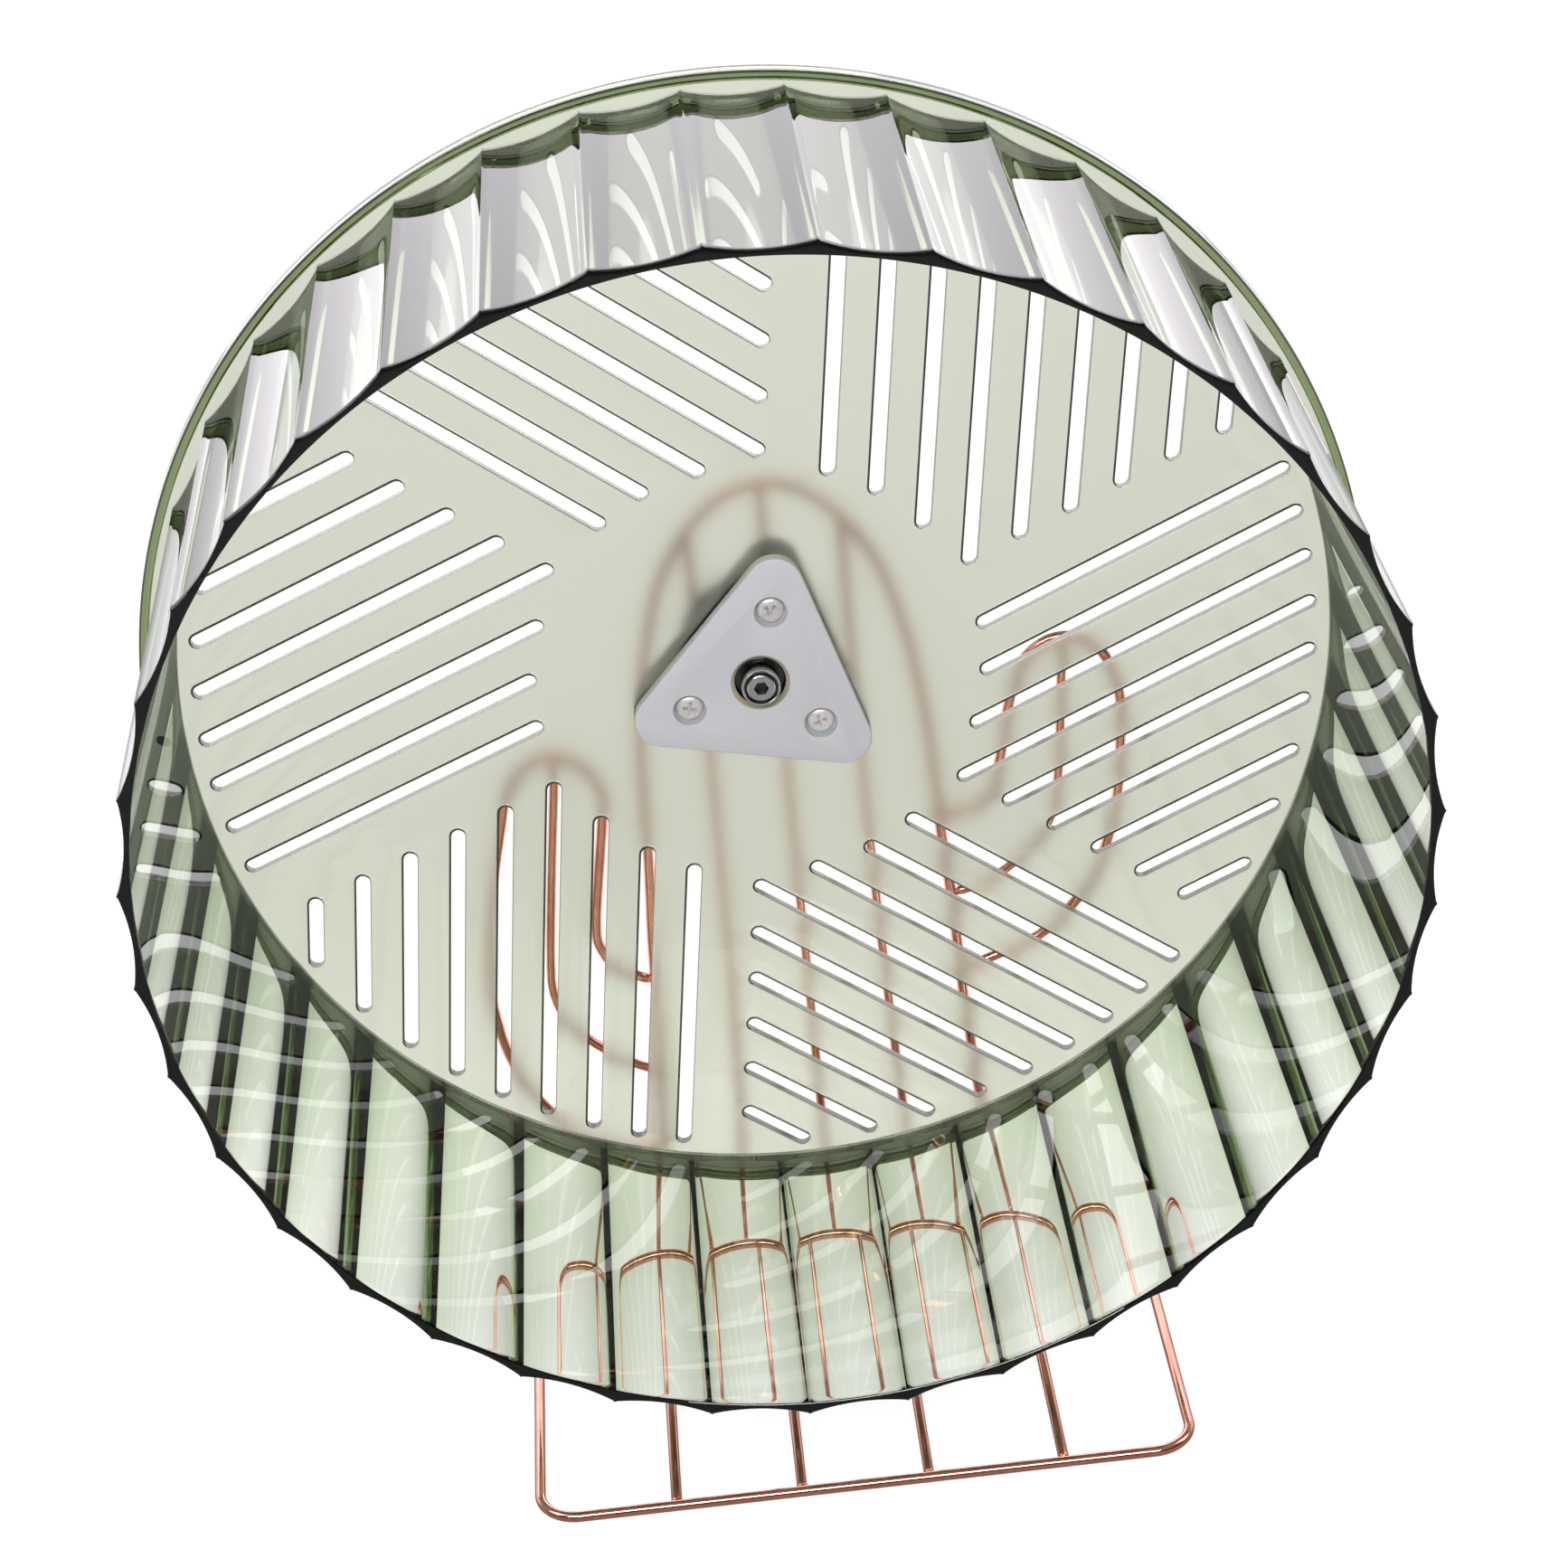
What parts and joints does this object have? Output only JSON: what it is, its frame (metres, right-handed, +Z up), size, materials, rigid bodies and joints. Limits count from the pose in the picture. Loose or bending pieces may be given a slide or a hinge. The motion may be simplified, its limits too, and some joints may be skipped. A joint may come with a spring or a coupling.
{
  "type": "hamster exercise wheel",
  "caption": "Clear green hamster exercise wheel with a fluted drum and a slotted back, turning on a ball bearing held by a cactus-shaped stand of copper wire.",
  "frame": {"origin": "on the floor, midway between the drum's front edge and the back of the stand, straight below the axle", "axes": "-Y is the wheel's open front, +Z is up, and the axle runs along Y"},
  "size_m": [0.259, 0.1108, 0.2851],
  "materials": {
    "copper_plated_wire": "bright copper-coloured plating on steel wire",
    "clear_green_plastic": "clear, tinted grey-green, polished",
    "frosted_green_plastic": "clear grey-green with a polished front and a finely frosted back",
    "frosted_white_plastic": "milky grey-white, satin",
    "polished_steel": "bright nickel plating",
    "bearing_steel": "ground bearing steel",
    "nylon": "natural nylon"
  },
  "bodies": {
    "stand": {"base_frame_wire": "copper_plated_wire", "base_outer_cross_wire_left": "copper_plated_wire", "base_outer_cross_wire_right": "copper_plated_wire", "base_inner_cross_wire_left": "copper_plated_wire", "base_inner_cross_wire_right": "copper_plated_wire", "trunk_arch_wire": "copper_plated_wire", "trunk_upright_left": "copper_plated_wire", "trunk_upright_middle": "copper_plated_wire", "trunk_upright_right": "copper_plated_wire", "left_arm_loop": "copper_plated_wire", "left_arm_inner": "copper_plated_wire", "right_arm_loop": "copper_plated_wire", "right_arm_inner": "copper_plated_wire", "axle_plate": "copper_plated_wire", "axle_shaft": "polished_steel", "axle_washer": "polished_steel", "axle_end_screw": "polished_steel", "bearing_inner_ring": "bearing_steel"},
    "wheel": {"running_drum": "clear_green_plastic", "slotted_disc": "frosted_green_plastic", "hub_cover": "frosted_white_plastic", "cover_screw_1": "polished_steel", "cover_screw_2": "polished_steel", "cover_screw_3": "polished_steel", "bearing_outer_ring": "bearing_steel", "bearing_front_shield": "polished_steel", "bearing_rear_shield": "polished_steel"},
    "bearing_cage": {"bearing_cage": "nylon", "bearing_ball_1": "polished_steel", "bearing_ball_2": "polished_steel", "bearing_ball_3": "polished_steel", "bearing_ball_4": "polished_steel", "bearing_ball_5": "polished_steel", "bearing_ball_6": "polished_steel", "bearing_ball_7": "polished_steel"}
  },
  "joints": [
    {"name": "wheel_spin", "type": "hinge", "parent": "stand", "child": "wheel", "pos_m": [0, 0.03263, 0.1557], "axis": [0, 1, 0], "continuous": true},
    {"name": "cage_spin", "type": "hinge", "parent": "stand", "child": "bearing_cage", "pos_m": [0, 0.03263, 0.1557], "axis": [0, 1, 0], "continuous": true}
  ],
  "couplings": [
    {"joint": "cage_spin", "follows": "wheel_spin", "ratio": 0.6311}
  ]
}
